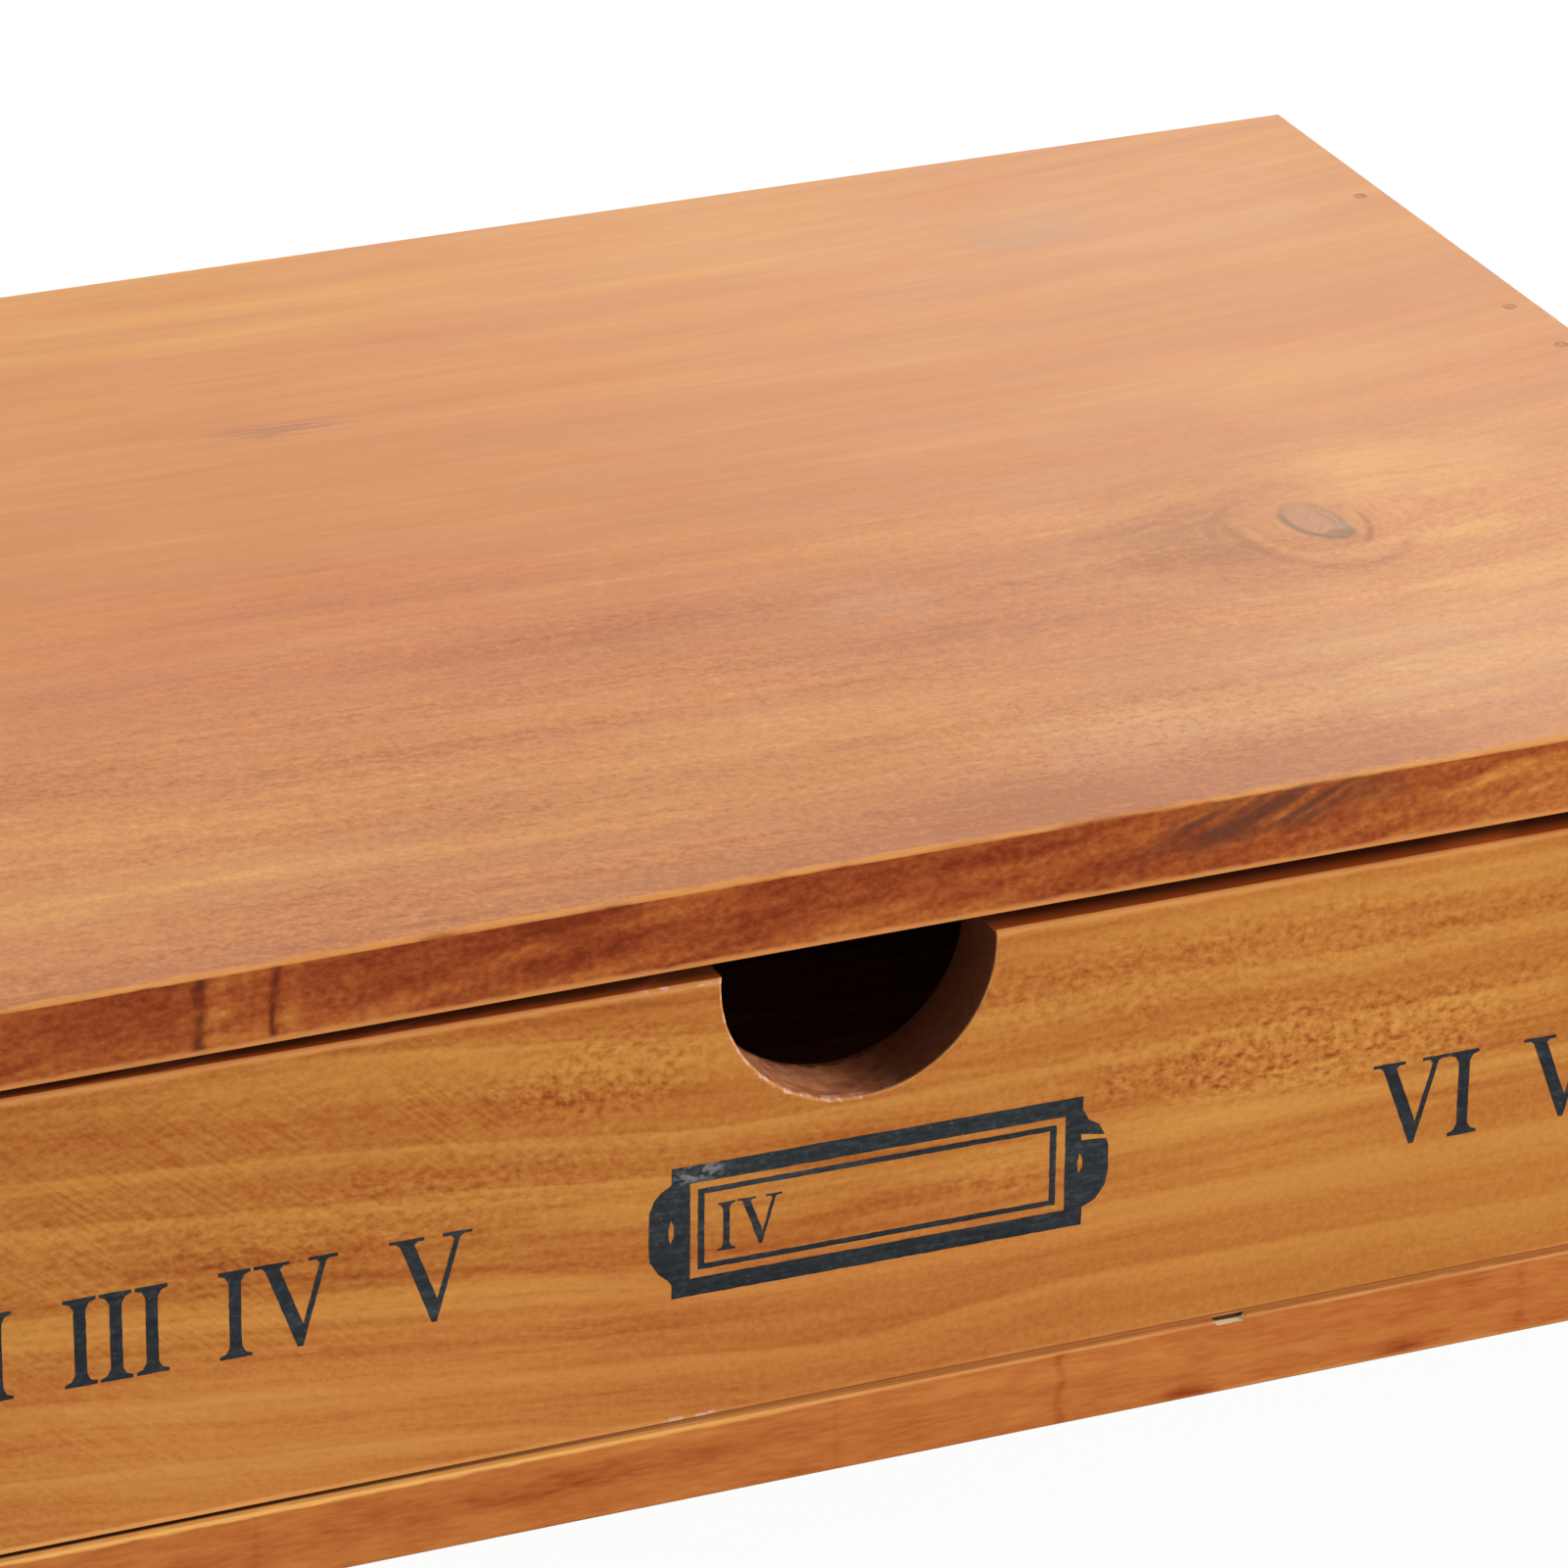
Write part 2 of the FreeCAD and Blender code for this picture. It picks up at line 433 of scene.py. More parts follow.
class Grain:
    """A wood in one board: its place in millimetres along, across and through the grain."""

    seed_step = 7.31

    def __init__(self, name, axes, seed):
        self.material, self.start = new_finish(name)
        self.node = self.start.node
        place = self.node("TexCoord", None, None, "Object")
        place = self.node("VectorMath", {"operation": "SCALE"}, {0: place, "Scale": 1 / mm})
        self.x, self.y, self.z = place.split()
        named = {"X": self.x, "Y": self.y, "Z": self.z}
        self.along, self.across, self.through = (named[axis] for axis in axes)
        self.seed = seed
        self.run(self.across, self.through)

    def run(self, across, through):
        """Lets the grain run where these are constant, round a knot for instance."""
        self.lie = self.node("CombineXYZ", None, {0: self.along, 1: across, 2: through})

    def texture(self, place, detail, rough=0.5):
        return self.node("TexNoise", None, {
            "Vector": place, "Scale": 1, "Detail": detail, "Roughness": rough})

    def noise(self, length, width, detail=2, rough=0.5):
        """An uneven pattern from 0 to 1, drawn out along the grain."""
        self.seed += self.seed_step
        place = self.node("VectorMath", {"operation": "MULTIPLY_ADD"}, {
            0: self.lie, 1: (1 / length, 1 / width, 1 / width),
            2: (self.seed, -1.7 * self.seed, 2.3 * self.seed)})
        return self.texture(place, detail, rough)

    def uneven(self, weight, *shape):
        """The same pattern, as much below 0 as above it, times a weight."""
        return (self.noise(*shape) - 0.5) * weight

    def drawn(self, x, z, degrees, length, width, detail=2):
        """A noise drawn out at an angle on the face that x and z measure."""
        self.seed += self.seed_step
        place = self.node("CombineXYZ", None, {0: x, 1: z, 2: 0})
        place = self.node("Mapping", {"vector_type": "TEXTURE"}, {
            "Vector": place, "Rotation": (0, 0, math.radians(degrees)),
            "Location": (10 * self.seed, -10 * self.seed, 0), "Scale": (length, width, 1)})
        return self.texture(place, detail)

    def figure(self, bands, streaks, fibres, blotches, specks, band_width=6.5):
        """The light and dark of the wood about 0.5, from broad bands down to specks."""
        self.fibre = self.noise(3, 0.45, 2, 0.6)
        self.streak = self.noise(30, 1.3)
        tone = 0.5 + self.uneven(bands, 150, band_width)
        tone += (self.streak - 0.5) * streaks + (self.fibre - 0.5) * fibres
        return tone + self.uneven(blotches, 42, 15, 3) + self.uneven(specks, 0.8, 0.7, 1)

    def rings(self, gap, pith_across, pith_through, sway, waver):
        """Thin latewood lines, a gap apart about the pith."""
        _, across, through = self.lie.split()
        across -= pith_across
        through -= pith_through
        reach = (across * across + through * through) ** 0.5
        reach += self.uneven(sway, 120, 40) + self.uneven(waver, 24, 7)
        year = reach / gap + self.uneven(1.5, 400, 11, 1)
        part = year.maths("FRACT")
        return part.rise(0.45, 0.88) * part.rise(1, 0.9)

    def spot(self, x, y, wide, high, fray=0, grain=3):
        """1 at a place on the face that x and y measure, fading to 0 at an oval round it."""
        a, b = x / wide, y / high
        far = (a * a + b * b) ** 0.5
        if fray:
            far += self.uneven(fray, 2 * grain, grain)
        return far.rise(1, 0.25)

    def spots(self, x, y, *places):
        """Several spots, each from its weight, its middle, and what spot takes after those."""
        return [self.spot(x - a, y - b, *shape) * weight for weight, a, b, *shape in places]

    def strongest(self, *spots):
        """The most of such spots at each place."""
        return reduce(Wire.most, self.spots(*spots))

    def stain(self, tone, stops):
        return self.node("ValToRGB", {"stops": stops}, {"Fac": tone})

    def paint(self, share, *colour):
        """Lays a red, green and blue over the wood's colour, all of it where the share is 1."""
        self.colour = share.tint(self.colour, rgb(*colour))

    def warm(self, amount):
        """Turns the colour from orange towards gold, or to red where the amount is below 0."""
        share = self.node("CombineXYZ", None, {0: 1, 1: 1 + amount, 2: 1})
        self.colour = self.node("VectorMath", {"operation": "MULTIPLY"}, {0: self.colour, 1: share})

    def depths(self, low, high):
        """How far a place is inside a box from low to high, measured along x, y and z."""
        low, high = Vector(low) / mm, Vector(high) / mm
        middle, half = (low + high) / 2, (high - low) / 2
        return [half[axis] - (place - middle[axis]).size()
                for axis, place in enumerate((self.x, self.y, self.z))]

    def edges(self, depths):
        """1 on the narrow faces round a board, 0 on its two wide ones."""
        a, b, c = depths
        return (c - a.least(b)).rise(-0.05, 0.12)

    def rubbed(self, depths, reach, fray):
        """1 on the arrises, where two of the three depths are small, with frayed borders."""
        a, b, c = depths
        second = a.least(b).most(a.most(b).least(c)) + self.uneven(fray, 4, 1, 3, 0.6)
        return second.rise(reach, 0.35 * reach) * self.noise(16, 6, 3).rise(0.25, 0.62)

    def close(self, gloss, rough, relief=0.25):
        """Fibres in relief, an oil finish whose gloss may vary, and the material."""
        height = self.fibre * 0.6 + self.streak * 0.3 + self.noise(8, 3) * 0.9
        bump = self.node("Bump", None, {
            "Strength": relief, "Distance": 0.12 * mm, "Height": height})
        roughness = rough + (self.fibre - 0.5) * 0.15 + self.uneven(0.2, 20, 12)
        shader = self.node("BsdfPrincipled", None, {
            "Base Color": self.colour, "Roughness": roughness, "Normal": bump,
            "Specular IOR Level": 0.04, "Coat Weight": gloss, "Coat Roughness": 0.4})
        close_finish(self.start, shader)
        return self.material


knot_x, knot_y = 92.1, -33.2
spike_knots = [(-80.8, 1.3), (-71.9, 0.9)]
arris_rub = (0.82, 0.38, 0.12)
edge_stain = [
    (0.2, 0.15, 0.022, 0.006), (0.38, 0.23, 0.038, 0.009), (0.52, 0.31, 0.062, 0.015),
    (0.66, 0.4, 0.1, 0.022), (0.85, 0.52, 0.17, 0.035), (1, 0.64, 0.26, 0.055)]
face_stain = [
    (0.1, 0.405, 0.128, 0.036), (0.35, 0.56, 0.2, 0.053), (0.5, 0.62, 0.243, 0.066),
    (0.65, 0.675, 0.293, 0.08), (0.9, 0.76, 0.376, 0.104)]


def top_finish():
    """Broad soft bands that part round a knot, two spike knots in the front edge, wax bloom."""
    wood = Grain("stained_top", "XYZ", 4)
    x, y, z = wood.x, wood.y, wood.z
    behind_face = y - top_low.y / mm

    # Bands that bend along the board and part round the knot.
    u, v = x - knot_x, y - knot_y
    knot_far = (u * u + v * v * 0.5) ** 0.5
    part = v / (v.size() + 5) * knot_far.rise(32, 3) * 6
    upturn = (x - 60).most(0)
    bend = x.least(30) * -0.035 + upturn * upturn * 0.0011
    wood.run(y - bend - part, z)
    near_front = y.rise(30, -60)
    tone = wood.figure(0.55, 0.4, 0.12, 0.3, 0, 10)
    tone = 0.5 + (tone - 0.5) * (0.6 + near_front * 0.3)
    tone += wood.uneven(0.1 + near_front * 0.6, 0.9, 0.8, 2, 0.6)
    tone += wood.uneven(0.05 + near_front * 0.5, 2.6, 1.6, 2, 0.6)
    fine_lines = wood.rings(3.4, -60, 0, 5, 0.6)
    tone += fine_lines * wood.spot(x + 15, y + 64, 85, 30) * 0.07

    # Lighter and darker places, and golden flames.
    # Painted shade: a broad dark spot, and darker towards the front, for light that falls off
    # there.
    tone -= wood.spot(x - 25, y + 38, 90, 24, 0.5, 12) * 0.14
    tone -= y.rise(60, -10) * 0.05 + y.rise(-82, -101) * 0.12
    right_border = x - 97 + y.rise(-48, -60) * 21 + wood.uneven(16, 30, 9)
    right_zone = right_border.rise(-6, 9) * y.rise(35, 0)
    back_zone = y.rise(66, 84) * x.rise(110, 60)
    tone += right_zone * 0.14 + back_zone * 0.1
    # Painted shade: darker at the front left.
    tone -= y.rise(40, -20) * x.rise(70, 20) * 0.04
    tone += sum(wood.spots(
        x, y, (0.17, -85, -76, 52, 16, 0.5, 8), (-0.12, 45, -96, 50, 11, 0.8),
        (-0.2, 76, -32, 18, 22, 0.7, 6), (-0.1, 88, -19, 9, 7, 0.7)))
    golden = wood.strongest(
        x, y, (1, 110, -22, 20, 13, 0.9, 6), (1, 108, -43, 16, 4, 0.9, 5),
        (0.8, 78, -55, 20, 5, 0.9, 5), (0.8, 110, -58, 22, 6, 0.9, 5))
    flames = wood.noise(22, 2.2, 3).rise(0.34, 0.62)
    tone += golden * (0.3 + flames * 0.7) * 0.26

    # Curved lines round the knot: oval, width, where they show, weight.
    wobble = wood.uneven(0.16, 9, 9)
    arcs = [
        (130, 237, 0.12, (u * 0.5 + v * 0.7).rise(1, -6), -0.2),
        (85, 150, 0.16, (u * 0.4 + v * 0.7).rise(0, -5), 0.16),
        (40, 90, 0.14, (u - 2.5).rise(0, 1.5) * v.rise(2, -1), -0.34),
        (196, 96, 0.1, (v - u * 0.7).rise(7, 10) * u.rise(-4, -8), -0.14)]
    for wide, high, width, shown, weight in arcs:
        arc = ((u * u / wide + v * v / high) ** 0.5 + wobble - 1).line(width)
        tone += arc * shown * weight

    # The stain, here redder and there more golden.
    wood.colour = wood.stain(tone, face_stain)
    blush = (wood.noise(110, 10) * 0.6 + wood.noise(30, 3.5) * 0.4).rise(0.42, 0.62)
    wood.paint(blush * 0.3, 0.51, 0.195, 0.076)
    gold = x.rise(20, 75) * 0.35 + back_zone * 0.25 - right_zone * 0.3
    gold += sum(wood.spots(
        x, y, (0.45, 5, -78, 150, 26), (0.4, 76, -36, 28, 24), (-0.65, -45, -20, 80, 36, 0.4, 12)))
    wood.warm((gold + wood.uneven(1.3, 70, 4, 3)) * 0.12)

    # The knot: a cloudy core in a broken outline, a hook in it, a dark fleck and a painted
    # highlight.
    lean = u + v * 0.12
    core_far = (lean * lean / 15.2 + v * v / 42) ** 0.5 + wood.uneven(0.5, 4, 4)
    wood.paint(core_far.rise(1.05, 0.8) * 0.75, 0.52, 0.24, 0.11)
    cloudy = wood.drawn(x, y, 35, 2.2, 0.8).rise(0.4, 0.62) * core_far.rise(1, 0.7)
    wood.paint(cloudy * 0.4, 0.36, 0.165, 0.08)
    low_left = (u * 0.5 + v * 0.6).rise(2.5, -1.5)
    outline = (core_far - 0.9).line(0.26) * wood.noise(4, 4).rise(0.3, 0.55)
    wood.paint(outline * (0.35 + low_left * 0.55), 0.22, 0.112, 0.032)
    hook = (core_far - 0.55).line(0.22) * lean.rise(0.6, 2) * wood.noise(2, 2).rise(0.3, 0.5)
    wood.paint(hook * 0.45, 0.24, 0.135, 0.05)
    wood.paint(wood.spot(u - 1.2, v + 4.6, 2.2, 1.6) * 0.7, 0.24, 0.115, 0.04)
    # A painted highlight: a grey-blue glint on the knot.
    wood.paint(wood.spot(u - 3.2, v + 3, 1.2, 1.8) * 0.5, 0.4, 0.28, 0.15)

    # A smear, a dusky patch, pale bloom, a painted sheen and dark specks.
    smear = wood.spot(x + 20, y - 45, 16, 3.6, 1) * wood.noise(14, 0.9).rise(0.42, 0.56)
    wood.paint(smear * 0.75, 0.4, 0.15, 0.08)
    wood.paint(wood.spot(x - 100, y - 74, 14, 9, 1.2, 5) * 0.4, 0.43, 0.21, 0.1)
    bloom = wood.strongest(
        x, y, (1, 30, -37, 10, 9, 2.2, 4), (1, 44, -84, 17, 16, 2.2, 5),
        (0.8, 118, 70, 45, 26, 1.6, 9))
    wood.paint(bloom * 0.1, 0.76, 0.5, 0.34)
    # A painted sheen: pale haze over the wax, growing towards the right.
    painted_sheen = 0.03 + x.rise(-30, 110) * 0.11 + wood.spot(x - 95, y + 80, 60, 26) * 0.05
    wood.paint(painted_sheen, 0.89, 0.64, 0.54)
    speckle = wood.noise(1.3, 0.9, 2, 0.6).rise(0.56, 0.7)
    speckle *= wood.spot(x - 38, y + 86, 48, 24, 1, 6)
    wood.paint(speckle * 0.5, 0.42, 0.12, 0.035)

    # The narrow faces took more stain.
    depths = wood.depths(top_low, top_high)
    slanted = wood.drawn(x, z, 12, 34, 3, 4)
    tone = wood.noise(40, 2.2, 3) * 0.26 + slanted * 0.34 + wood.noise(5, 2.6, 3) * 0.12
    tone += wood.noise(1.1, 0.8, 2, 0.6) * 0.28
    tone = 0.53 + (tone - 0.5) * 2 + (x - 64).rise(-2, 14) * 0.14
    gold_patch = wood.strongest(
        x, z, (1, 84, 75.5, 13, 4.2, 0.9, 4), (1, 113, 74, 12, 4, 0.8))
    tone += gold_patch * (wood.drawn(x, z, 24, 9, 1.6) - 0.15) * 0.5
    tone += sum(wood.spots(
        x, z, (-0.2, -35, 79, 14, 3.4, 1), (0.13, -21, 77.5, 11, 3, 1)))
    tone += (75.5 - z).rise(0, 4) * 0.09
    spikes = []
    for spike_x, half_width in spike_knots:
        off = x - spike_x - (z - 75) * 0.08 + wood.uneven(2.4, 4, 4)
        off += behind_face.rise(20, 60) * 90
        spikes.append(off.line(half_width) * wood.noise(2.5, 2.5).rise(0.2, 0.6))
        tone += (off - 2.2).line(1.8) * wood.noise(3, 3) * 0.26
    tone += wood.spot(x + 76, z - 75, 9, 11, 1) * behind_face.rise(60, 20) * 0.13
    edge_colour = wood.stain(tone, edge_stain)
    for spike in spikes:
        edge_colour = (spike * 0.9).tint(edge_colour, rgb(0.1, 0.017, 0.006))
    shade = wood.spot(x - 52, z - 77 - (x - 52) * 0.12, 24, 4.4, 0.9)
    shade *= wood.drawn(x, z, 24, 12, 1.5).rise(0.26, 0.6)
    edge_colour = (shade * 0.85).tint(edge_colour, rgb(0.115, 0.038, 0.022))
    wood.colour = wood.edges(depths).tint(wood.colour, edge_colour)

    # Rubbed arrises, and a painted highlight along the lower front arris, which faces down.
    wood.paint(wood.rubbed(depths, 0.6, 0.5) * 0.85, *arris_rub)
    fray = wood.uneven(1.6, 5, 1.2, 3, 0.6)
    hand_line = (behind_face + fray).rise(1.1, 0.35) * (z - 79).rise(0.35, 0.6)
    hand_line *= 1 - wood.spot(x - 45, z - 80, 45, 60) * 0.85
    hand_line *= wood.noise(9, 9, 3).rise(0.3, 0.55)
    wood.paint(hand_line * 0.75, 0.74, 0.315, 0.085)
    # A painted highlight on the lower front arris, which faces down into shade.
    lower_arris_highlight = (z - 70 + fray * 0.6).rise(1.05, 0.4) * (behind_face - 0.4).rise(0.1, 0)
    wood.paint(lower_arris_highlight * 0.8, 0.66, 0.265, 0.075)
    gloss = 0.11 - wood.edges(depths).most(hand_line) * 0.08
    return wood.close(gloss, 0.42, 0.2)


finish_with(top, top_finish())


# The putty in the pits
# Each pit over a brad in the top was filled with a dab of tan putty and wiped level. It has
# shrunk a little below the face.
putty_under_face = 0.04 * mm
putty_rim = 0.06 * mm
putty_ring = 0.25 * mm
putty_clearance = 0.01 * mm
putty = Grain("tan_putty", "XYZ", 90)
putty_tone = putty.figure(0, 0, 0.6, 0.3, 0.9)
putty.colour = putty.stain(putty_tone, [(0.3, 0.42, 0.19, 0.085), (0.7, 0.54, 0.26, 0.12)])
putty_finish = putty.close(0.3, 0.6)

first_x, first_y = case_brad_places[0]
first_dab = add_rod((first_x, first_y, top_high.z - (brad_sink + putty_under_face) / 2), "Z",
                    brad_pit_radius - putty_clearance, brad_sink - putty_under_face, pit_sides)
pick(first_dab, "polygons", lambda face: face.normal.z > 0.9)
for step in (-putty_rim / 2, putty_rim / 3):
    bpy.ops.mesh.inset(thickness=putty_ring)
    bpy.ops.transform.translate(value=(0, 0, step))
back_to_objects()
for number, (x, y) in enumerate(case_brad_places, 1):
    dab = first_dab
    if number > 1:
        take(first_dab)
        bpy.ops.object.duplicate()
        dab = bpy.context.object
        dab.location = (x - first_x, y - first_y, 0)
        settle_in_mesh(dab)
    smooth(dab)
    settle(dab, "putty_dab_%d" % number, "case")
    finish_with(dab, putty_finish)


# The bottom board
# The same softwood from a redder piece, its front edge flush with the top's. A splinter has
# broken out of its top front arris and shows bare wood.
bottom_low, bottom_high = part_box("bottom_board")
chip_x = 48.5 * mm
chip_half_length = 2.2 * mm
chip_depth = 0.85 * mm
chip_back = 1.35 * mm
chip_slope = 0.5 * mm
chip_taper = 0.8
chip_cuts = 5
chip_roughness = 0.05 * mm
back_brad_spacing = 100 * mm
back_thickness = 8 * mm

bottom = planed_board(bottom_low, bottom_high)
sharpen(bottom, Vector((0, bottom_low.y, bottom_high.z)))
back_brad_places = [(step * back_brad_spacing, case_high.y - back_thickness / 2)
                    for step in (-1, 0, 1)]
sink_brads(bottom, case_brad_places + back_brad_places, bottom_low.z)

splinter = add_block(
    (chip_x - chip_half_length, bottom_low.y - chip_back, bottom_high.z - chip_depth),
    (chip_x + chip_half_length, bottom_low.y + chip_back, bottom_high.z + 0.1 * mm))
pick(splinter, "vertices", lambda vertex: vertex.co.z < bottom_high.z)
bpy.ops.transform.resize(value=(chip_taper, 1, 1))
back_to_objects()
pick(splinter, "vertices",
     lambda vertex: vertex.co.z < bottom_high.z and vertex.co.y > bottom_low.y)
bpy.ops.transform.translate(value=(0, 0, chip_slope))
bpy.ops.mesh.select_all(action="SELECT")
bpy.ops.mesh.subdivide(number_cuts=chip_cuts)
bpy.ops.transform.vertex_random(offset=chip_roughness, seed=5)
back_to_objects()
cut(bottom, splinter)
smooth(bottom)
settle(bottom, "bottom_board_planed", "case")
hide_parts("bottom_board")

cross_marks = [(-76, 0.08), (-3.3, 0.12), (26, 0.2), (88, 0.14)]
bottom_edge_stain = [
    (0.2, 0.32, 0.062, 0.013), (0.38, 0.455, 0.118, 0.026), (0.52, 0.535, 0.158, 0.036),
    (0.66, 0.59, 0.198, 0.045), (0.85, 0.655, 0.25, 0.06)]


def bottom_finish():
    """Orange-red edges with a darker heart band, faint marks across them, a bare chip."""
    wood = Grain("stained_bottom", "XYZ", 21)
    x, y, z = wood.x, wood.y, wood.z
    behind_face = y - bottom_low.y / mm
    below_lid = bottom_high.z / mm - z
    wood.run(y, z + x * 0.012)
    depths = wood.depths(bottom_low, bottom_high)
    wood.colour = wood.stain(wood.figure(0.6, 0.5, 0.42, 0.45, 0.3), face_stain)

    # The narrow faces, with short marks across their grain.
    tone = wood.noise(70, 3.2, 3) * 0.35 + wood.noise(9, 3) * 0.3 + wood.fibre * 0.35
    tone = 0.6 + (tone - 0.5) * 1.6 - wood.spot(x + 40, z - 6, 38, 2.6, 0.5) * 0.1
    for mark_x, weight in cross_marks:
        lean = wood.uneven(3, 3, 3)
        strength = weight * wood.noise(2.5, 2.5).rise(0.25, 0.6)
        tone -= (x - mark_x + lean).line(1.1) * strength
    tone -= sum(wood.spots(x, z, (0.3, 43, 0.4, 5, 2.2, 0.8), (0.3, 71, 0.4, 5, 2.2, 0.8)))
    side = wood.edges(depths)
    wood.colour = side.tint(wood.colour, wood.stain(tone, bottom_edge_stain))

    # Rubbed arrises, a painted highlight along the front lip, a worn foot, and painted shade and
    # light in the gap under the drawer.
    wood.paint(wood.rubbed(depths, 0.5, 0.5) * 0.7, *arris_rub)
    fray = wood.uneven(0.8, 5, 1, 3, 0.6)
    # A painted highlight along the lit front lip, at the left.
    lip_highlight = (below_lid + fray).rise(0.75, 0.25) * behind_face.rise(1.1, 0.9)
    wood.paint(lip_highlight * x.rise(30, -45) * 0.9, 1, 0.53, 0.15)
    worn_foot = (z + fray).rise(0.9, 0.3) * x.rise(30, 55)
    wood.paint(worn_foot * 0.6, 0.76, 0.39, 0.115)
    # Painted shade and light on the floor of the gap under the drawer front: dark at the left,
    # bright at the right.
    inside = (behind_face - 1.05).rise(0, 0.25) * behind_face.rise(9, 5)
    inside *= (z - bottom_high.z / mm).rise(-0.3, -0.1)
    gap_shade_and_light = x.rise(-80, -10).tint(rgb(0.05, 0.02, 0.01), rgb(1, 0.45, 0.14))
    wood.colour = (inside * 0.95).tint(wood.colour, gap_shade_and_light)

    # Bare wood in the chip, with painted shade along its back.
    in_chip = ((x - chip_x / mm).size() + below_lid * 0.5).rise(2.35, 2.15)
    in_chip *= behind_face.rise(0.02, 0.06) * behind_face.rise(3, 2)
    in_chip *= below_lid.rise(0.06, 0.12)
    wood.paint(in_chip, 0.95, 0.74, 0.48)
    # Painted shade at the back of the chip, under the drawer front.
    wood.paint(in_chip * behind_face.rise(0.75, 1.05), 0.1, 0.045, 0.02)
    return wood.close(0.3 - side * 0.25, 0.45)


finish_with(bottom, bottom_finish())


# The sides and the back
# Boards of the same wood standing between the bottom and the top, butted and bradded, and
# stained with the rest.
side_stain = [
    (0.15, 0.33, 0.085, 0.018), (0.35, 0.445, 0.137, 0.026), (0.5, 0.52, 0.185, 0.036),
    (0.65, 0.585, 0.232, 0.046), (0.88, 0.66, 0.29, 0.062)]


def plain_finish(node, axes, seed, stops, wander, figure, rings, weight, specks, rub, close):
    """Latewood lines on a board of the frame, and specks in some."""
    wood = Grain("stained_" + node, axes, seed)
    wood.run(wood.across + wood.uneven(*wander), wood.through)
    tone = wood.figure(*figure) + (wood.rings(*rings) - 0.3) * weight
    if specks:
        tone += wood.uneven(specks, 0.9, 0.8)
    wood.colour = wood.stain(tone, stops)
    wood.paint(wood.rubbed(wood.depths(*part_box(node)), *rub) * 0.35, *arris_rub)
    finish_with(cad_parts[node], wood.close(*close))


for node, axes, seed in [("left_side_board", "YZX", 33), ("right_side_board", "YZX", 38),
                         ("back_panel", "XZY", 47)]:
    plain_finish(node, axes, seed, side_stain, wander=(16, 160, 60),
                 figure=(0.45, 0.45, 0.3, 0.35, 0), rings=(7.5, -60, 30, 10, 2.5),
                 weight=0.16, specks=0.3, rub=(0.6, 0.7), close=(0.1, 0.45, 0.28))


# The drawer front
# A golden softwood board, sawn a little out of square, with a finger notch bored into its top
# edge, a rabbet at each end for the sides and a groove for the floor. The bit tore the rim.
front_low, front_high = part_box("drawer_front")
gap_top_left, gap_top_middle, gap_top_right = 1.2 * mm, 2.7 * mm, 2.9 * mm
gap_bottom_left, gap_bottom_right = 0.6 * mm, 0.3 * mm
floor_top = bottom_high.z
ceiling = top_low.z
notch_radius = 17.2 * mm
notch_height = 66.2 * mm
notch_sides = 160
notch_first_step = 0.85 * mm
front_arris = 0.35 * mm
front_wear = 0.15 * mm
inner_arris = 0.4 * mm
inner_arris_steps = 2
rabbet_width = 8 * mm
rabbet_depth = 5 * mm
groove_depth = 4 * mm
groove_low, groove_high = 15.3 * mm, 18.5 * mm
groove_half_width = 139.2 * mm
spare = 2 * mm
shortest_run = 5 * mm
off_run = 0.1 * mm
lowest_rim = 40 * mm

front = add_block(front_low, front_high)
middle_height = (front_low.z + front_high.z) / 2
pick(front, "edges", lambda edge: all(end.z > middle_height for end in ends(front, edge))
     and near(ends(front, edge)[0].y, ends(front, edge)[1].y))
bpy.ops.mesh.subdivide(number_cuts=1)
back_to_objects()
top_heights = {-1: ceiling - gap_top_left, 0: ceiling - gap_top_middle, 1: ceiling - gap_top_right}
bottom_heights = {-1: floor_top + gap_bottom_left, 1: floor_top + gap_bottom_right}
for end, heights, old_height in ((1, top_heights, front_high.z), (-1, bottom_heights, front_low.z)):
    for side, height in heights.items():
        pick(front, "vertices", lambda vertex: round(vertex.co.x / front_high.x) == side
             and (vertex.co.z - middle_height) * end > 0)
        bpy.ops.transform.translate(value=(0, 0, height - old_height))
        back_to_objects()
for side in left_right:
    corners = sorted([side * (front_high.x - rabbet_width), side * (front_high.x + spare)])
    low_corner = (corners[0], front_high.y - rabbet_depth, front_low.z - spare)
    cut(front, add_block(low_corner, (corners[1], front_high.y + spare, front_high.z + spare)))
low_corner = (-groove_half_width, front_high.y - groove_depth, groove_low)
cut(front, add_block(low_corner, (groove_half_width, front_high.y + spare, groove_high)))
notch_middle = (0, (front_low.y + front_high.y) / 2, notch_height)
cut(front, add_rod(notch_middle, "Y", notch_radius, 4 * rabbet_width, notch_sides))


def on_notch(place):
    return abs(Vector((place.x, 0, place.z - notch_height)).length - notch_radius) < 0.02 * mm


notch_corners = []
for side in left_right:
    for y in (front_low.y, front_high.y):
        rim = [v.co.copy() for v in front.data.vertices
               if on_notch(v.co) and near(v.co.y, y) and v.co.x * side > 0]
        notch_corners.append(max(rim, key=lambda place: place.z))


def crowds_a_corner(edge):
    """A short edge through the notch's wall, too near a corner for the rounding of the rim."""
    for end in ends(front, edge):
        steps = [(end - corner).length for corner in notch_corners]
        if not on_notch(end) or min(steps) < 0.001 * mm or min(steps) > notch_first_step:
            return False
    return True


pick(front, "edges", crowds_a_corner)
bpy.ops.mesh.dissolve_edges(use_verts=True)
back_to_objects()


def on_face(edge, y):
    return all(near(end.y, y) for end in ends(front, edge))


def straight_run(edge, y):
    """An undivided edge of the outline at a depth, not one of the notch's short ones."""
    a, b = ends(front, edge)
    return on_face(edge, y) and (a - b).length > shortest_run


